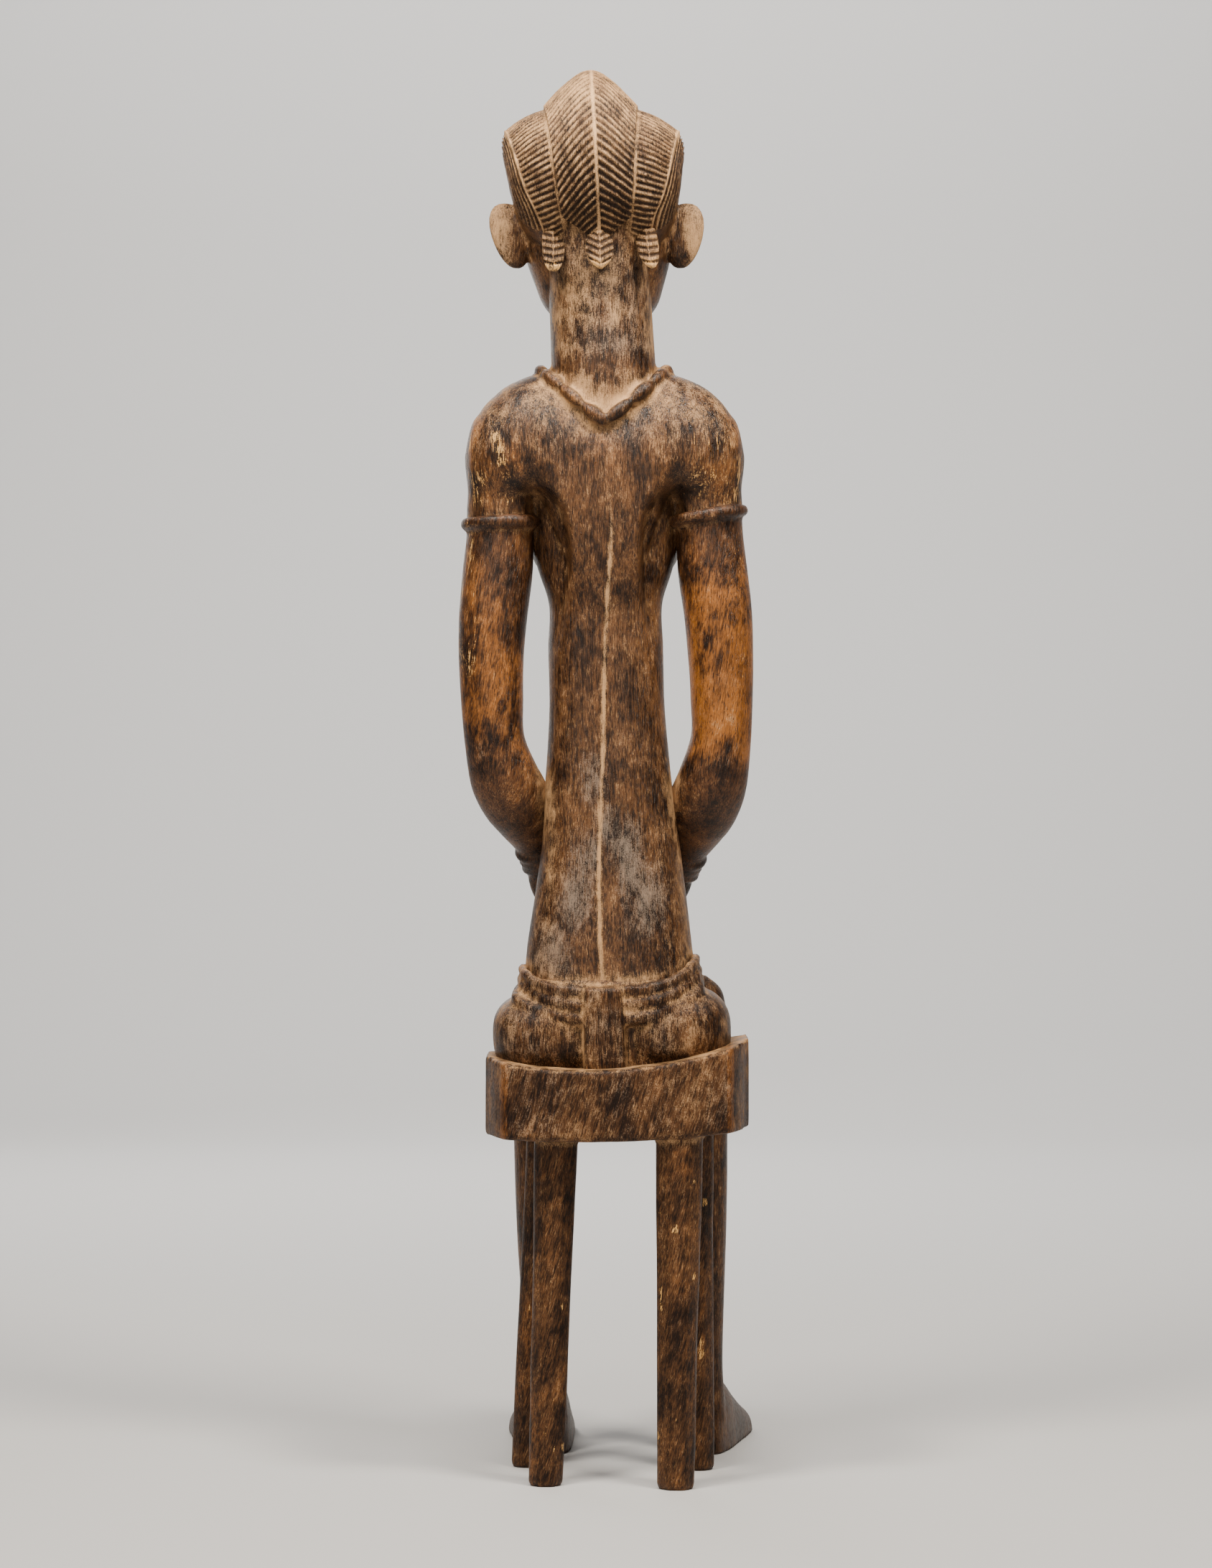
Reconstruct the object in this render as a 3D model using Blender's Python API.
"""Wooden woman seated on a stool with legs, carved from one block of wood.

Metres, +Z up, standing on Z = 0. She faces -Y, so her left side is at +X. The body's axis is X = 0.
The figure is drawn in carver's units above the seat, 577 of them to the crest, and scaled to SITTING_HEIGHT.
"""

import math

import bmesh
import bpy
import numpy as np

# Stool
SEAT_HEIGHT = 0.2385  # floor to the level that she sits at
SEAT_THICKNESS = 0.0395
SEAT_WIDTH = 0.1515
SEAT_DEPTH = 0.107
SEAT_SHIFT = -0.0064  # the stool stands a little towards her right
SEAT_LIFT = 0.0018  # of the middle of the top above the level that she sits at
SEAT_DISH = 0.0079  # rise of the top from its middle to the back corners
SEAT_UNDER_DISH = 0.0028
SEAT_TILT = 0.0084  # how much higher her right end is
SEAT_UNDER_TILT = 0.0036
SEAT_EDGE = 0.003  # rounding of the long edges
# Seat's plan from end to middle: across, back edge and front edge, as shares of half its width and depth
SEAT_PLAN = (
    (1.0, 0.34, -0.38), (0.93, 0.74, -0.72), (0.85, 0.985, -0.97), (0.55, 1.0, -1.0), (0.0, 1.015, -1.0),
)
LEG_TOP_DIAMETER = 0.0255
LEG_FOOT_DIAMETER = 0.0195
LEG_FOOT_CHAMFER = 0.0025
# Stool legs: across at the seat and at the floor, and fore-and-aft, as shares of the seat's width and depth, then
# thickness as a share of the diameters above
STOOL_LEGS = {
    "rear_left": (0.227, 0.271, 0.243, 1.07),
    "rear_right": (-0.236, -0.220, 0.346, 1.16),
    "front_left": (0.264, 0.352, -0.374, 1.0),
    "front_right": (-0.289, -0.314, -0.280, 1.06),
}

# Figure
SITTING_HEIGHT = 0.577  # seat to the top of the crest
ORIGIN_AHEAD = 0.069  # the origin lies this far in front of the body's axis, under the middle of the whole
DRAWN_HEIGHT = 577.0
UNIT = SITTING_HEIGHT / DRAWN_HEIGHT

# How far the block leans to her left, by height
LEAN_HEIGHTS = (-240, 0, 70, 125, 160, 240, 340, 390, 430, 500, 540, 577)
LEAN_OFFSETS = (-5, -4, -2, -3, -1.6, 0.1, 0.8, 0.8, 2.7, 6, 8, 10.2)

# Trunk: height, half width, half depth, offset forward (-) or back (+)
TRUNK = np.array(
    [
        (10, 47, 34, 2),
        (45, 50, 36, 1),
        (68, 48, 35, 0),
        (102, 43.5, 32.5, -1),
        (135, 39.2, 30.5, -1),
        (168, 36.4, 28.5, 0),
        (201, 33.8, 27, 0),
        (243, 33.3, 26.5, 0.5),
        (276, 33.4, 27, 0),
        (306, 41.5, 28, -0.5),
        (334, 45, 29, 0),
        (368, 27, 26, 1),
    ]
)
TRUNK_POWER = 2.35
SPINE_DEPTH = 1.1
SPINE_HALF_ANGLE = math.radians(3.0)
# The spine wanders: height, and place across
SPINE_LINE = np.array([(59, 5.3), (107, 6.9), (177, 3.3), (224, 1.3), (271, -1.0), (318, -3.7)])

# Shoulders: distance out from the axis, lowest, widest and highest height, half depth, offset
YOKE = np.array(
    [
        (0, 226, 346, 388, 30, 3),
        (17, 246, 347, 394, 31, 2.5),
        (29, 300, 352, 399, 32, 2),
        (38, 327, 356, 401, 32.5, 1),
        (50, 326, 355, 397.5, 32, 0.5),
        (62, 322, 352, 390.5, 28.5, 0),
        (72, 324, 350, 379.5, 22, 0),
        (78.5, 332, 349, 367, 13, 0),
        (81, 344, 349, 354, 4, 0),
    ]
)

# Neck: height, radius, offset
NECK = np.array([(345, 29.5, 0.5), (398, 30.3, 0), (430, 29.8, 0), (456, 29.6, 1), (500, 28, 2)])

# Arm: out, fore-and-aft, height, half width across, half depth
ARM = np.array(
    [
        (57, 0.5, 352, 20.5, 21),
        (58.5, 0.5, 330, 21.2, 21),
        (60.5, 0, 309, 19.6, 20.5),
        (62.5, 0.5, 286, 20.2, 21),
        (65.2, 2, 262, 19.8, 20.5),
        (66.5, 3, 238, 19, 19.5),
        (66.5, 4, 214, 18.1, 18.5),
        (65.6, 4, 190, 17.5, 18),
        (60.7, 2, 169, 20, 17.5),
        (55, -4, 156, 20.5, 17),
        (49.5, -12.5, 145.5, 18.6, 15.5),
        (44.3, -22, 134, 15, 13.3),
        (40.6, -30.5, 122, 11.2, 11),
        (38, -34.5, 113, 11, 9.5),
    ]
)
# Hand lying on the belly: out, fore-and-aft, height, half width, half thickness
PALM = np.array(
    [
        (39, -33, 116, 10.5, 8),
        (35.5, -36.5, 107, 12.5, 6.5),
        (30, -38, 99, 13.5, 6),
        (24.5, -38.2, 92.5, 13, 5),
    ]
)
FINGER_RADIUS = 3.1
FINGER_LENGTHS = (15, 18, 17, 13)
ARMBAND_HEIGHTS = (315, 319)  # her left, her right
ARMBAND_TILTS = (-2.0, 9.5)  # degrees, outer end up
ARMBAND_RADIUS = 2.4
BRACELET_RADIUS = 2.3
BRACELET_HEIGHTS = (125.6, 118.4)
# Her right forearm hangs lower: by how much, and over which heights this comes and goes
RIGHT_FOREARM_DROP = 4.0
FOREARM_HEIGHTS = (100, 120, 150, 185)

# Breasts
BREAST_BASE = (23, -13, 307)
BREAST_AIM = (0.16, -0.95, -0.24)
# Breast: distance along its aim, half width, half height
BREAST = np.array([(0, 20, 27), (10, 19.5, 24), (22, 17, 18), (32, 12, 12), (40, 6, 6), (45, 2.5, 2.5)])
NAVEL = (0, -31, 150)

# Hips and legs
BUTTOCK_CENTRE = (33.5, 0.5, 19)
BUTTOCK_HALF = (35.5, 39, 26)
BUTTOCK_POWER = 2.7
BUTTOCK_LIFT = (-1.0, 3.0)  # her left one sits a little lower than her right
KNEE_SHIFT = -8  # both knees lie towards her right
KNEE_OUT = 48.5
KNEE_HEIGHT = 34.0
THIGH = np.array([(34.0, 2, 24, 27, 25), (38, -30, 23, 25, 24), (43, -62, 21, 21, 22), (47, -84, 17, 18, 19)])
KNEE_AT = -92.0
# Lower leg: share of the way from knee to floor, offset forward, half width, half depth
LOWER_LEG = np.array(
    [
        (-0.055, 5, 4.5, 5),
        (-0.035, 3, 11.5, 12),
        (0.015, 0, 16.6, 16.8),
        (0.10, 0, 17, 17),
        (0.30, 2, 16.2, 17.5),
        (0.50, 0, 15.2, 15.5),
        (0.70, -2, 13, 12.5),
        (0.82, -3, 12.4, 12.2),
        (0.93, -4, 14.6, 15),
    ]
)
ANKLE_LEAN = (-3, -1)  # towards +X from knee to ankle, her left and her right
FOOT_TURN = (2.5, 9.0)  # degrees outward, her left and her right
# Foot: distance ahead of the heel, half width, height of the instep
FOOT = np.array(
    [
        (0, 7, 13), (5, 12, 30), (16, 15, 44), (32, 17, 43),
        (55, 18.5, 33), (78, 20, 23), (95, 20.5, 17), (106, 18, 13),
    ]
)
# Cross-section of the foot: shares of its half width and height
FOOT_PROFILE = np.array(
    [(-1, 0), (-1, 0.35), (-0.8, 0.78), (-0.35, 1), (0.35, 1), (0.8, 0.78), (1, 0.35), (1, 0)]
)
HEEL_BEHIND = 17.0
TOE_LENGTHS = (10, 8.5, 7.5, 6, 4)
TOE_OVERLAP = 6.0
TOE_SPREAD = 18.0
TOE_HALF = 3.5
GREAT_TOE_HALF = 4.4
TOE_HEIGHTS = (11.0, 10.0, 8.5)  # root, ball and tip
TOE_PROFILE = np.array([(-1, 0), (-1, 0.5), (-0.5, 1), (0.5, 1), (1, 0.5), (1, 0)])

# Belt, loincloth and necklace
BELT_STRANDS = 3
BELT_SIDE = 59.6  # height of the top strand at her sides
BELT_BACK = 45.0
BELT_FRONT = 46.0
BELT_PITCH = 6.1  # between strands at her sides
BELT_PITCH_MIDDLE = 8.0  # between strands at the back and front
BELT_TILT = 3.0  # how much higher it runs at her right side than in the middle
BELT_DIP = 1.6  # how sharply the strands dip
BELT_PROUD = 3.2
BELT_GROOVE = 0.9
BELT_POWER = 3.0  # fullness of the belt's outline
FLAP_TOP = 47.5
FLAP_BELOW = 3.0
FLAP_HALF_TOP = 10.7
FLAP_HALF_FOOT = 12.4
FLAP_BACK_SHIFT = 4.4
FLAP_BACK = 42.4
FLAP_FRONT = 41.9
FLAP_BOW = 0.8
FLAP_THICKNESS = 17.0
NECKLACE_BEADS = 17
NECKLACE_HEIGHT = 403.0
NECKLACE_ACROSS = 36.5
NECKLACE_DROP = (31.5, 58.0)  # at the back, at the front
NECKLACE_DEPTH = (33.0, 31.5)  # at the back, at the front
BEAD_RADIUS = 3.6
# Bead: place along it as a share of half its length, and share of the radius
BEAD_PROFILE = np.array([(-1.06, 0.35), (-0.45, 0.95), (0.45, 0.95), (1.06, 0.35)])

# Head: height, half width, front, back
SKULL = np.array(
    [
        (431, 20, -40, 6),
        (436, 27, -47, 12),
        (444, 33.5, -49.5, 16),
        (455, 37.5, -49.5, 18),
        (468, 41.5, -49, 20),
        (482, 44, -49.5, 23),
        (498, 45.5, -50, 29),
        (514, 46, -50.5, 34),
        (532, 43, -46, 36),
        (548, 34, -34, 30),
        (558, 20, -18, 20),
    ]
)
# Nape: the neck runs up broad and square under the hair
NAPE_CENTRE = (0, 9, 479)
NAPE_HALF = (29.5, 22, 25)
NAPE_POWER = 3.0
HEAD_CENTRE = (2.0, 506.5)  # fore-and-aft, height

# Hair, by the angle over the head from the brow (0) by the crown (90) to the nape:
# angle, ridge radius, half width of the middle lobe, outer edge of the side lobe, radii at those two edges
HAIR = np.array(
    [
        (20, 55, 15, 31, 52, 46),
        (55, 65, 22, 43, 53.5, 41),
        (90, 70.5, 27, 50.5, 47.5, 35.5),
        (125, 68.5, 26, 49, 50.5, 36.5),
        (158, 60.5, 23.5, 45, 51, 38),
        (188, 48.5, 21.2, 39.5, 45, 36),
        (212, 43.0, 19.5, 33, 38.5, 35.5),
        (232, 44.0, 18, 30, 37.5, 35),
    ]
)
HAIR_START = 20.0
HAIR_END_MIDDLE = 222.0
HAIR_END_SIDE = 231.0
HAIR_POLE = 49.0
HAIR_BULGE = 2.4  # of the side panels
CREST_FALL = 0.39  # at CREST_SHARE of the middle lobe
CREST_SHARE = 0.55
PANEL_SHARE = 0.5
HAIR_GROOVES = 21
GROOVE_DEPTH = 1.3
LOBE_STEP = 1.7
CHEVRON_SLANT = (24.0, 17.0)  # degrees gained from the ridge to the lobe's edge, her left and her right
SIDE_SLANT = 8.0
SLANT_FADE = 0.22  # share of the way over which the slant grows at each end
TAIL_LENGTH = 30.0
# Hair tails: out, fore-and-aft and height of the root, half width, backward throw of the tip
TAILS = ((0, 32, 489, 8.2, 7.0), (27, 26, 486, 7.0, -1.0), (-27, 26, 486, 7.0, -1.0))

EAR_CENTRE = (50, -1, 482)
EAR_HALF = (11.5, 5.5, 19)

# Nose: across, fore-and-aft, height, half width, half depth
NOSE = np.array(
    [
        (0, -47, 514, 3, 4), (0, -51, 500, 3.4, 5), (0, -54, 487, 4.4, 6), (0, -55, 480, 6, 6),
        (0, -51, 476, 4.5, 5),
    ]
)
# Brow: across, fore-and-aft, height, radius
BROW = np.array([(3, -50.5, 510, 2.2), (12, -50, 515, 2.5), (24, -44.5, 514.5, 2.4), (33, -36.5, 508, 1.5)])
EYELID_CENTRE = (17, -45.5, 500)
EYELID_HALF = (9.5, 5.2, 5)
UPPER_LIP_CENTRE = (0, -49.5, 463.5)
UPPER_LIP_HALF = (10, 4.6, 2.9)
LOWER_LIP_CENTRE = (0, -49, 458.5)
LOWER_LIP_HALF = (8.5, 4.6, 2.9)

# Lines of the hair from the side of the head to the middle of the crest: how late each ends at the nape,
# and how far its grooves slant, as shares of the chevrons' slant and of the side lobes' own
HAIR_LINES = {
    "pole": (1, 1, 1),
    "panel": (1, 1, 1),
    "rim_foot": (1, 1, 1),
    "rim": (1, 1, 1),
    "side_lobe": (0.7, 1, 0.5),
    "edge_foot": (0.35, 1, 0),
    "edge": (0.2, 1, 0),
    "middle_lobe": (0, 0.5, 0),
    "ridge": (0, 0, 0),
}

DARK_WOOD = (0.115, 0.066, 0.038, 1.0)


def clear_scene():
    """Removes whatever the file opened with."""
    for thing in list(bpy.data.objects):
        bpy.data.objects.remove(thing)


def lean(height):
    """Sideways offset of the carving at a height, in drawn units."""
    return np.interp(height, LEAN_HEIGHTS, LEAN_OFFSETS)


def placed(points):
    """Drawn units above the seat to metres above the floor, with the block's lean."""
    points = np.array(points, float).reshape(-1, 3)
    points[:, 0] += lean(points[:, 2])
    return points * UNIT + (0, 0, SEAT_HEIGHT)


def superellipse(count, power, start=0.0):
    """Unit closed outline whose corners fill out as power grows."""
    angles = start + np.arange(count) * 2 * math.pi / count
    c, s = np.cos(angles), np.sin(angles)
    return np.sign(c) * np.abs(c) ** (2 / power), np.sign(s) * np.abs(s) ** (2 / power)


def mesh_from(name, rows, closed=False):
    """A solid skinned over rows of points, capped at its ends unless the rows close on themselves."""
    bm = bmesh.new()
    rings = [[bm.verts.new(point) for point in row] for row in rows]
    pairs = list(zip(rings, rings[1:]))
    if closed:
        pairs.append((rings[-1], rings[0]))
    for near, far in pairs:
        for i in range(len(near)):
            j = (i + 1) % len(near)
            bm.faces.new((near[i], near[j], far[j], far[i]))
    if not closed:
        bm.faces.new(list(reversed(rings[0])))
        bm.faces.new(rings[-1])
    bmesh.ops.recalc_face_normals(bm, faces=bm.faces)
    mesh = bpy.data.meshes.new(name)
    bm.to_mesh(mesh)
    bm.free()
    return mesh


def add(name, mesh, forms):
    """Puts a mesh among the forms that are joined into the carving."""
    form = bpy.data.objects.new(name, mesh)
    form.hide_render = True
    form.display_type = "WIRE"
    form.location.y = ORIGIN_AHEAD
    forms.objects.link(form)


def stack(name, stations, forms, power=2.0, count=15):
    """Loft of level outlines: each station is height, half width, half depth and offset to the back."""
    c, s = superellipse(count, power)
    rows = [placed(np.column_stack([w * c, y + d * s, np.full(count, h)])) for h, w, d, y in stations]
    add(name, mesh_from(name, rows), forms)


def frames_along(path):
    """Tangent, side and normal directions along a path, carried forward without twist."""
    tangents = np.gradient(path, axis=0)
    tangents /= np.linalg.norm(tangents, axis=1)[:, None]
    across = (0.0, 1.0, 0.0) if abs(tangents[0][1]) < 0.7 else (0.0, 0.0, 1.0)
    side = np.cross(tangents[0], across)
    sides = []
    for tangent in tangents:
        side = side - tangent * (side @ tangent)
        side = side / np.linalg.norm(side)
        sides.append(side)
    sides = np.array(sides)
    return tangents, sides, np.cross(tangents, sides)


def tube(name, path, half_side, half_normal, forms, count=12, power=2.0):
    """Loft of outlines square to a path, in drawn units."""
    path = np.array(path, float)
    _, sides, normals = frames_along(path)
    c, s = superellipse(count, power)
    rows = [
        placed(p + np.outer(a * c, u) + np.outer(b * s, v))
        for p, a, b, u, v in zip(path, half_side, half_normal, sides, normals)
    ]
    add(name, mesh_from(name, rows), forms)


def ellipsoid(name, centre, half, forms, segments=16, rings=10, power=2.0):
    """Ellipsoid with poles above and below, fuller where power is above 2."""
    bm = bmesh.new()
    bmesh.ops.create_uvsphere(bm, u_segments=segments, v_segments=rings, radius=1.0)
    points = np.array([v.co for v in bm.verts])
    level = np.maximum(np.hypot(points[:, 0], points[:, 1]), 1e-9)[:, None]
    flat = points[:, :2] / level
    points = np.sign(points) * np.abs(np.hstack([flat, points[:, 2:]])) ** (2 / power)
    points[:, :2] *= level ** (2 / power)
    points = points * half + centre
    for vertex, point in zip(bm.verts, placed(points)):
        vertex.co = point
    mesh = bpy.data.meshes.new(name)
    bm.to_mesh(mesh)
    bm.free()
    add(name, mesh, forms)


def stations_at(table, keys):
    """Rows of a table read between its stations, by its first column."""
    keys = np.asarray(keys, float)
    return np.column_stack([keys] + [np.interp(keys, table[:, 0], col) for col in table.T[1:]])


def trunk_outline(height, angles, power=TRUNK_POWER):
    """Points on the trunk at a height, by angle from her left (0) round the back (90 degrees)."""
    _, w, d, y = stations_at(TRUNK, [height])[0]
    c, s = np.cos(angles), np.sin(angles)
    x = w * np.sign(c) * np.abs(c) ** (2 / power)
    back = d * np.sign(s) * np.abs(s) ** (2 / power)
    return x, y + back


def trunk_mesh():
    """The trunk, with the spine cut as a fine groove down the back."""
    plain = np.linspace(0, 2 * math.pi, 20, endpoint=False)
    plain = plain[np.abs(plain - math.pi / 2) > 0.2]
    groove = int(np.count_nonzero(plain < math.pi / 2)) + 1
    rows = []
    for height, half in TRUNK[:, :2]:
        across = np.interp(height, SPINE_LINE[:, 0], SPINE_LINE[:, 1]) / half
        middle = math.acos(math.copysign(abs(across) ** (TRUNK_POWER / 2), across))
        spine = middle + np.array([-1, 0, 1]) * SPINE_HALF_ANGLE
        angles = np.sort(np.concatenate([plain, spine]))
        x, y = trunk_outline(height, angles)
        y[groove] -= SPINE_DEPTH
        rows.append(placed(np.column_stack([x, y, np.full(len(x), height)])))
    return mesh_from("trunk", rows)


def seat(forms):
    """Dished seat: an eight-sided plan with rounded long edges, lofted from end to end."""
    half = SEAT_WIDTH / 2
    corner = SEAT_PLAN[2][0]
    plan = [(-across, back, front) for across, back, front in SEAT_PLAN] + list(SEAT_PLAN[-2::-1])
    rows = []
    for across, back, front in plan:
        curve = (across / corner) ** 2
        top = SEAT_HEIGHT + SEAT_LIFT + SEAT_DISH * curve - SEAT_TILT / 2 * across / corner
        low = SEAT_HEIGHT - SEAT_THICKNESS + SEAT_UNDER_DISH * curve - SEAT_UNDER_TILT / 2 * across / corner
        y0, y1 = front * SEAT_DEPTH / 2, back * SEAT_DEPTH / 2
        e = SEAT_EDGE
        x = SEAT_SHIFT + across * half
        outline = (
            (y1 - e, top), (y1 - 0.3 * e, top - 0.3 * e), (y1, top - e), (y1, low + e), (y1 - e, low),
            (y0 + e, low), (y0, low + e), (y0, top - e), (y0 + 0.3 * e, top - 0.3 * e), (y0 + e, top),
        )
        rows.append([(x, y, z) for y, z in outline])
    add("seat", mesh_from("seat", rows), forms)


def stool_leg_line(name):
    """Where a stool leg's axis meets the seat and the floor."""
    top, foot, along, _ = STOOL_LEGS[name]
    x0, x1 = (SEAT_SHIFT + share * SEAT_WIDTH for share in (top, foot))
    return x0, x1, along * SEAT_DEPTH


def stool_leg(name, forms):
    """Eight-sided tapering leg, cut flat at the floor with a small chamfer."""
    x0, x1, y = stool_leg_line(name)
    reach = SEAT_HEIGHT - SEAT_THICKNESS / 2
    c, s = superellipse(8, 2.0, start=math.pi / 8)
    heights = (0.0, LEG_FOOT_CHAMFER, 0.4 * reach, 0.75 * reach, reach)
    rows = []
    for z in heights:
        share = z / reach
        r = (LEG_FOOT_DIAMETER + (LEG_TOP_DIAMETER - LEG_FOOT_DIAMETER) * share) / 2 * STOOL_LEGS[name][3]
        if z == 0.0:
            r -= LEG_FOOT_CHAMFER * 0.6
        x = x1 + (x0 - x1) * share
        rows.append(np.column_stack([x + r * c, y + r * s, np.full(8, z)]))
    add("stool_leg_" + name, mesh_from(name, rows), forms)


def yoke(forms):
    """The upper back and chest, lofted from shoulder to shoulder."""
    sides = np.concatenate([-YOKE[:0:-1, 0], YOKE[:, 0]])
    c, s = superellipse(16, 2.3)
    rows = []
    for x in sides:
        _, low, widest, high, depth, y = stations_at(YOKE, [abs(x)])[0]
        height = widest + np.where(s > 0, high - widest, widest - low) * s
        rows.append(placed(np.column_stack([np.full(16, x), y + depth * c, height])))
    add("yoke", mesh_from("yoke", rows), forms)


def arm(side, forms):
    """Arm from the shoulder to the wrist, hand on the belly, armband and bracelets."""
    k = 0 if side > 0 else 1
    mirror = np.array([side, 1, 1])
    path = ARM[:, :3] * mirror
    if side < 0:
        path[:, 2] -= RIGHT_FOREARM_DROP * np.interp(path[:, 2], FOREARM_HEIGHTS, (0, 1, 1, 0))
    tube(f"arm_{k}", path, ARM[:, 3], ARM[:, 4], forms, count=12)
    tube(f"palm_{k}", PALM[:, :3] * mirror, PALM[:, 3], PALM[:, 4], forms, count=10, power=2.6)
    fingers(side, forms)

    height = ARMBAND_HEIGHTS[k]
    row = [np.interp(height, ARM[::-1, 2], col) for col in ARM[::-1].T]
    turn = np.linspace(0, 2 * math.pi, 12, endpoint=False)
    slope = math.tan(math.radians(ARMBAND_TILTS[k]))
    out = (row[3] + 0.6) * np.cos(turn)
    along = (row[4] + 0.6) * np.sin(turn)
    loop = np.column_stack([side * (row[0] + out), row[1] + along, height + slope * out])
    ring_tube(f"armband_{k}", loop, ARMBAND_RADIUS, forms)
    _, sides, normals = frames_along(path)
    for height in BRACELET_HEIGHTS:
        place = np.interp(-height, -ARM[:, 2], np.arange(len(ARM)))
        i = min(int(place), len(ARM) - 2)
        f = place - i
        centre, u, v = (a[i] * (1 - f) + a[i + 1] * f for a in (path, sides, normals))
        a, b = (ARM[i, c] * (1 - f) + ARM[i + 1, c] * f + 0.3 for c in (3, 4))
        loop = centre + np.outer(a * np.cos(turn), u) + np.outer(b * np.sin(turn), v)
        ring_tube(f"bracelet_{k}_{height}", loop, BRACELET_RADIUS, forms)


def fingers(side, forms):
    """Four fingers and a thumb laid side by side on the belly."""
    mirror = np.array([side, 1, 1])
    end, before = PALM[-1, :3], PALM[-2, :3]
    ahead = (end - before) / np.linalg.norm(end - before)
    across = np.cross(ahead, (0, 1, 0))
    across /= np.linalg.norm(across)
    spread = PALM[-1, 3] - FINGER_RADIUS
    for n, length in enumerate(FINGER_LENGTHS):
        root = before + across * spread * (1 - 2 * n / (len(FINGER_LENGTHS) - 1))
        steps = np.array([0.0, 0.8, 1.0])
        path = root + np.outer(steps, ahead * (length + np.linalg.norm(end - before)))
        path[:, 1] += 1.2 * steps
        radii = FINGER_RADIUS * np.array([1.0, 0.95, 0.6])
        tube(f"finger_{side}_{n}", path * mirror, radii, radii, forms, count=5)
    thumb = np.array([PALM[1, :3] + (-2, -1, 8), PALM[2, :3] + (-4, 0, 15), PALM[3, :3] + (-6, 0.5, 18)])
    radii = FINGER_RADIUS * np.array([1.2, 1.15, 0.7])
    tube(f"thumb_{side}", thumb * mirror, radii, radii, forms, count=6)


def ring_tube(name, loop, radius, forms, count=4):
    """A round bead of wood running round a closed loop."""
    after, before = np.roll(loop, -1, axis=0), np.roll(loop, 1, axis=0)
    tangents = after - before
    tangents /= np.linalg.norm(tangents, axis=1)[:, None]
    out = loop - loop.mean(axis=0)
    out -= tangents * np.sum(out * tangents, axis=1)[:, None]
    out /= np.linalg.norm(out, axis=1)[:, None]
    up = np.cross(tangents, out)
    c, s = superellipse(count, 2.0)
    rows = [placed(p + radius * (np.outer(c, u) + np.outer(s, v))) for p, u, v in zip(loop, out, up)]
    add(name, mesh_from(name, rows, closed=True), forms)


def breast(side, forms):
    """Pointed breast, turned about its own aim."""
    mirror = np.array([side, 1, 1])
    aim = np.array(BREAST_AIM) / np.linalg.norm(BREAST_AIM)
    path = (np.array(BREAST_BASE) + np.outer(BREAST[:, 0], aim)) * mirror
    tube(f"breast_{side}", path, BREAST[:, 1], BREAST[:, 2], forms, count=10)


def leg(side, forms):
    """Buttock, thigh, lower leg and foot."""
    k = 0 if side > 0 else 1
    mirror = np.array([side, 1, 1])
    seat = np.array(BUTTOCK_CENTRE) * mirror + (0, 0, BUTTOCK_LIFT[k])
    ellipsoid(f"buttock_{k}", seat, BUTTOCK_HALF, forms, 16, 8, BUTTOCK_POWER)
    thigh = THIGH[:, :3] * mirror
    thigh[:, 0] += np.linspace(0, 1, len(THIGH)) * KNEE_SHIFT / 2
    tube(f"thigh_{k}", thigh, THIGH[:, 3], THIGH[:, 4], forms)

    knee = np.array([side * KNEE_OUT + KNEE_SHIFT / 2, KNEE_AT, KNEE_HEIGHT])
    floor = -SEAT_HEIGHT / UNIT
    rows = []
    c, s = superellipse(10, 2.2)
    for share, ahead, w, d in LOWER_LEG:
        height = knee[2] + (floor - knee[2]) * share
        x = knee[0] + ANKLE_LEAN[k] * share
        ring = np.column_stack([x + w * c, knee[1] + ahead + d * s, np.full(10, height)])
        rows.append(placed(ring))
    add(f"lower_leg_{k}", mesh_from("lower_leg", rows), forms)
    foot(side, (knee[0] + ANKLE_LEAN[k], knee[1] + LOWER_LEG[-1, 1]), forms)


def foot(side, ankle, forms):
    """Flat-soled foot that widens to the toes."""
    k = 0 if side > 0 else 1
    turn = math.radians(FOOT_TURN[k]) * side
    ahead = np.array([math.sin(turn), -math.cos(turn)])
    across = np.array([-ahead[1], ahead[0]])
    start = np.array(ankle) - ahead * HEEL_BEHIND
    floor = -SEAT_HEIGHT / UNIT
    rows = []
    for forward, w, h in FOOT:
        base = start + ahead * forward
        flat = base + np.outer(FOOT_PROFILE[:, 0] * w, across)
        rows.append(placed(np.column_stack([flat, floor + FOOT_PROFILE[:, 1] * h])))
    add(f"foot_{k}", mesh_from("foot", rows), forms)
    for n, length in enumerate(TOE_LENGTHS):
        out = side * (-1 + 2 * (n + 0.5) / len(TOE_LENGTHS)) * TOE_SPREAD
        root = start + ahead * (FOOT[-1, 0] - TOE_OVERLAP) + across * out
        tip = root + ahead * (length + TOE_OVERLAP)
        wide = TOE_HALF if n else GREAT_TOE_HALF
        rows = []
        for share, size, high in zip((0, 0.7, 1.0), (1.0, 1.0, 0.6), TOE_HEIGHTS):
            spot = root + (tip - root) * share
            flat = spot + np.outer(TOE_PROFILE[:, 0] * wide * size, across)
            rows.append(placed(np.column_stack([flat, floor + TOE_PROFILE[:, 1] * high])))
        add(f"toe_{k}_{n}", mesh_from("toe", rows), forms)


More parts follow.
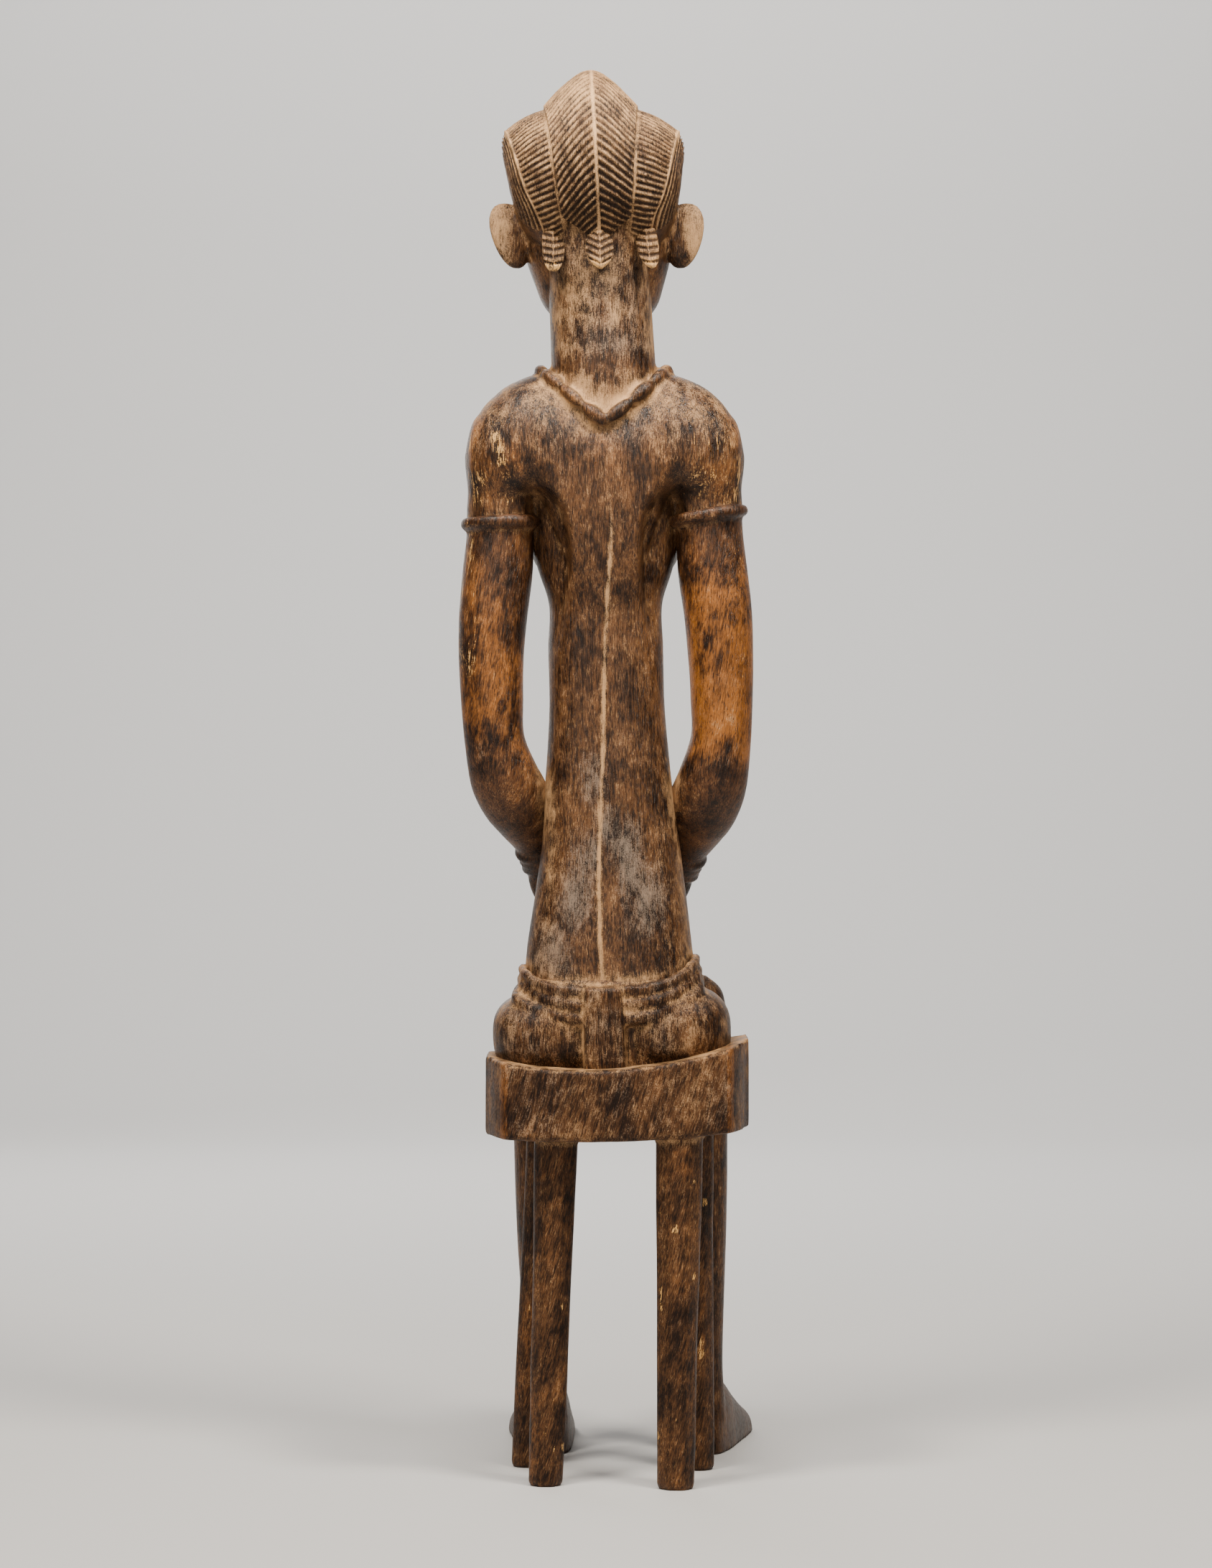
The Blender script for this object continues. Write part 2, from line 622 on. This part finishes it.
def belt(forms):
    """Three strands of waist beads, low at the back, and the loincloth's flaps over them."""
    turn = np.linspace(0, 2 * math.pi, 22, endpoint=False)
    dip = np.abs(np.sin(turn)) ** BELT_DIP
    low = np.where(np.sin(turn) > 0, BELT_BACK, BELT_FRONT)
    pitch = BELT_PITCH + (BELT_PITCH_MIDDLE - BELT_PITCH) * dip
    top = BELT_SIDE + (low - BELT_SIDE) * dip + pitch / 2 - BELT_TILT * np.cos(turn)
    # down over the ridges, then up behind them, inside the body: drop in strands, and stand off the body
    profile = [(0, -6), (0.08, 0.4)]
    for n in range(BELT_STRANDS):
        profile += [(n + 0.5, BELT_PROUD), (n + 1.0, BELT_GROOVE)]
    profile += [(BELT_STRANDS, -6)]
    rows = []
    for angle, start, step in zip(turn, top, pitch):
        row = []
        for strands, proud in profile:
            height = start - strands * step
            x, y = trunk_outline(height, np.array([angle]), BELT_POWER)
            out = 1 + (proud + 0.5 * strands) / math.hypot(x[0], y[0])
            row.append((x[0] * out, y[0] * out, height))
        rows.append(placed(row))
    add("waist_beads", mesh_from("waist_beads", rows, closed=True), forms)
    flap("flap_back", 1, forms)
    flap("flap_front", -1, forms)


def flap(name, facing, forms):
    """Straight panel of the loincloth from the belt down to the seat."""
    proud, shift = (FLAP_BACK, FLAP_BACK_SHIFT) if facing > 0 else (FLAP_FRONT, 0)
    rows = []
    for share in (0.0, 0.5, 1.0):
        height = FLAP_TOP * (1 - share) - FLAP_BELOW * share
        half = FLAP_HALF_TOP + (FLAP_HALF_FOOT - FLAP_HALF_TOP) * share
        left, right = shift + half, shift - half
        outer = facing * (proud + FLAP_BOW * math.sin(math.pi * share))
        inner = outer - facing * FLAP_THICKNESS
        corners = ((right, outer), (left, outer), (left, inner), (right, inner))
        rows.append(placed([(x, y, height) for x, y in corners]))
    add(name, mesh_from(name, rows), forms)


def necklace(forms):
    """Spindle beads lying in the crease round the foot of the neck, end to end."""
    turn = np.linspace(0, 2 * math.pi, 721)
    c, s = np.cos(turn), np.sin(turn)
    sag = np.abs(s)
    drop = np.where(s > 0, NECKLACE_DROP[0] * (1 - np.abs(c) ** 1.1), NECKLACE_DROP[1] * sag**1.5)
    along = np.where(s > 0, NECKLACE_DEPTH[0] * sag**0.9, -NECKLACE_DEPTH[1] * sag**0.8)
    loop = np.column_stack([NECKLACE_ACROSS * c, along, NECKLACE_HEIGHT - drop])
    steps = np.r_[0, np.cumsum(np.linalg.norm(np.diff(loop, axis=0), axis=1))]
    at = np.linspace(0, steps[-1], NECKLACE_BEADS, endpoint=False) + steps[-1] / 4
    radii = BEAD_PROFILE[:, 1] * BEAD_RADIUS
    half = steps[-1] / NECKLACE_BEADS / 2
    for n, place in enumerate(at):
        ends = [
            np.array([np.interp((place + d) % steps[-1], steps, loop[:, i]) for i in range(3)])
            for d in (-half, half)
        ]
        middle, reach = (ends[0] + ends[1]) / 2, (ends[1] - ends[0]) / 2
        path = middle + np.outer(BEAD_PROFILE[:, 0], reach)
        tube(f"bead_{n}", path, radii, radii, forms, count=5)


def head(forms):
    """Skull and face block, features, ears, hair and hair tails."""
    skull = [(h, w, (back - front) / 2, (back + front) / 2) for h, w, front, back in SKULL]
    stack("skull", skull, forms, power=2.25)
    ellipsoid("nape", NAPE_CENTRE, NAPE_HALF, forms, 16, 8, NAPE_POWER)
    face(forms)
    for side in (1, -1):
        ellipsoid(f"ear_{side}", np.array(EAR_CENTRE) * (side, 1, 1), EAR_HALF, forms, 10, 6)
    add("hair", hair_mesh(), forms)
    for n, tail in enumerate(TAILS):
        hair_tail(n, tail, forms)


def face(forms):
    """Calm, plain features: straight nose, arched brows, lowered eyelids and a small mouth."""
    tube("nose", NOSE[:, :3], NOSE[:, 3], NOSE[:, 4], forms, count=8)
    for side in (1, -1):
        mirror = np.array([side, 1, 1])
        tube(f"brow_{side}", BROW[:, :3] * mirror, BROW[:, 3], BROW[:, 3], forms, count=6)
        ellipsoid(f"eyelid_{side}", np.array(EYELID_CENTRE) * mirror, EYELID_HALF, forms, 8, 5)
    ellipsoid("upper_lip", UPPER_LIP_CENTRE, UPPER_LIP_HALF, forms, 8, 5)
    ellipsoid("lower_lip", LOWER_LIP_CENTRE, LOWER_LIP_HALF, forms, 8, 5)


def hair_point(line, side, way, cut):
    """A point on one line of the hair: way runs from brow (0) to nape (1), side is her left (1) or right."""
    late, chevron, own = HAIR_LINES[line]
    end = HAIR_END_MIDDLE + (HAIR_END_SIDE - HAIR_END_MIDDLE) * late
    slant = chevron * CHEVRON_SLANT[0 if side > 0 else 1] + own * SIDE_SLANT
    straighten = min(1.0, way / SLANT_FADE, (1 - way) / SLANT_FADE)
    angle = HAIR_START + (end - HAIR_START) * way + slant * straighten
    _, ridge, edge, rim, edge_r, rim_r = stations_at(HAIR, [angle])[0]
    x, r = {
        "ridge": (0.0, ridge),
        "middle_lobe": (CREST_SHARE * edge, ridge - CREST_FALL * (ridge - edge_r) - cut),
        "edge": (edge, edge_r + LOBE_STEP),
        "edge_foot": (edge + 0.4, edge_r - 0.4),
        "side_lobe": ((edge + rim) / 2, (edge_r + rim_r) / 2 + 1.6 - cut),
        "rim": (rim, rim_r + 0.7 * LOBE_STEP),
        "rim_foot": (rim + 0.5, rim_r - 0.8),
        "panel": (rim + (HAIR_POLE - rim) * PANEL_SHARE + HAIR_BULGE, rim_r * 0.7),
        "pole": (HAIR_POLE, 0.0),
    }[line]
    turn = math.radians(angle)
    return side * x, HEAD_CENTRE[0] - r * math.cos(turn), HEAD_CENTRE[1] + r * math.sin(turn)


def hair_mesh():
    """Hair dressed in a tall middle lobe and two side lobes, cut with slanting grooves, over side panels."""
    lines = [(line, 1) for line in HAIR_LINES] + [(line, -1) for line in list(HAIR_LINES)[-2::-1]]
    bm = bmesh.new()
    poles = {side: bm.verts.new(placed([hair_point("pole", side, 0.5, 0)])[0]) for side in (1, -1)}
    rows = []
    for n, way in enumerate(np.linspace(0, 1, 2 * HAIR_GROOVES + 1)):
        cut = GROOVE_DEPTH if n % 2 else 0.0
        row = [
            poles[side] if line == "pole" else bm.verts.new(placed([hair_point(line, side, way, cut)])[0])
            for line, side in lines
        ]
        rows.append(row)
    for near, far in zip(rows, rows[1:]):
        for corners in zip(near, near[1:], far[1:], far):
            bm.faces.new(dict.fromkeys(corners))
    middle = bm.verts.new(placed([(0, *HEAD_CENTRE)])[0])
    for row in (rows[0], rows[-1]):
        for one, other in zip(row, row[1:]):
            bm.faces.new((one, other, middle))
    bmesh.ops.recalc_face_normals(bm, faces=bm.faces)
    mesh = bpy.data.meshes.new("hair")
    bm.to_mesh(mesh)
    bm.free()
    return mesh


def hair_tail(n, tail, forms):
    """Pointed lock that hangs clear of the neck."""
    x, y, height, half, throw = tail
    steps = np.array([0.0, 0.35, 0.7, 0.92, 1.0])
    path = np.column_stack([np.full(5, x), y + throw * steps, height - TAIL_LENGTH * steps])
    width = half * np.array([1.0, 1.05, 0.9, 0.5, 0.12])
    depth = half * np.array([0.9, 0.85, 0.7, 0.45, 0.12])
    tube(f"tail_{n}", path, width, depth, forms, count=6)


def wood():
    """Old dark hardwood, rubbed to a dull polish."""
    material = bpy.data.materials.new("aged_wood")
    material.use_nodes = True
    shader = material.node_tree.nodes["Principled BSDF"]
    shader.inputs["Base Color"].default_value = DARK_WOOD
    shader.inputs["Roughness"].default_value = 0.55
    shader.inputs["Metallic"].default_value = 0.0
    return material


def main():
    """Builds every form, joins them into one solid and sets it over the origin."""
    clear_scene()
    forms = bpy.data.collections.new("carved_forms")
    bpy.context.scene.collection.children.link(forms)
    seat(forms)
    for name in STOOL_LEGS:
        stool_leg(name, forms)
    yoke(forms)
    for side in (1, -1):
        arm(side, forms)
        breast(side, forms)
        leg(side, forms)
    ellipsoid("navel", NAVEL, (4, 4, 4), forms, 8, 6)
    stack("neck", NECK[:, [0, 1, 1, 2]], forms)
    belt(forms)
    necklace(forms)
    head(forms)

    figure = bpy.data.objects.new("seated_figure", trunk_mesh())
    bpy.context.scene.collection.objects.link(figure)
    figure.data.materials.append(wood())
    union = figure.modifiers.new("one block", "BOOLEAN")
    union.operation = "UNION"
    union.solver = "EXACT"
    union.operand_type = "COLLECTION"
    union.collection = forms
    figure.location.y = ORIGIN_AHEAD


main()
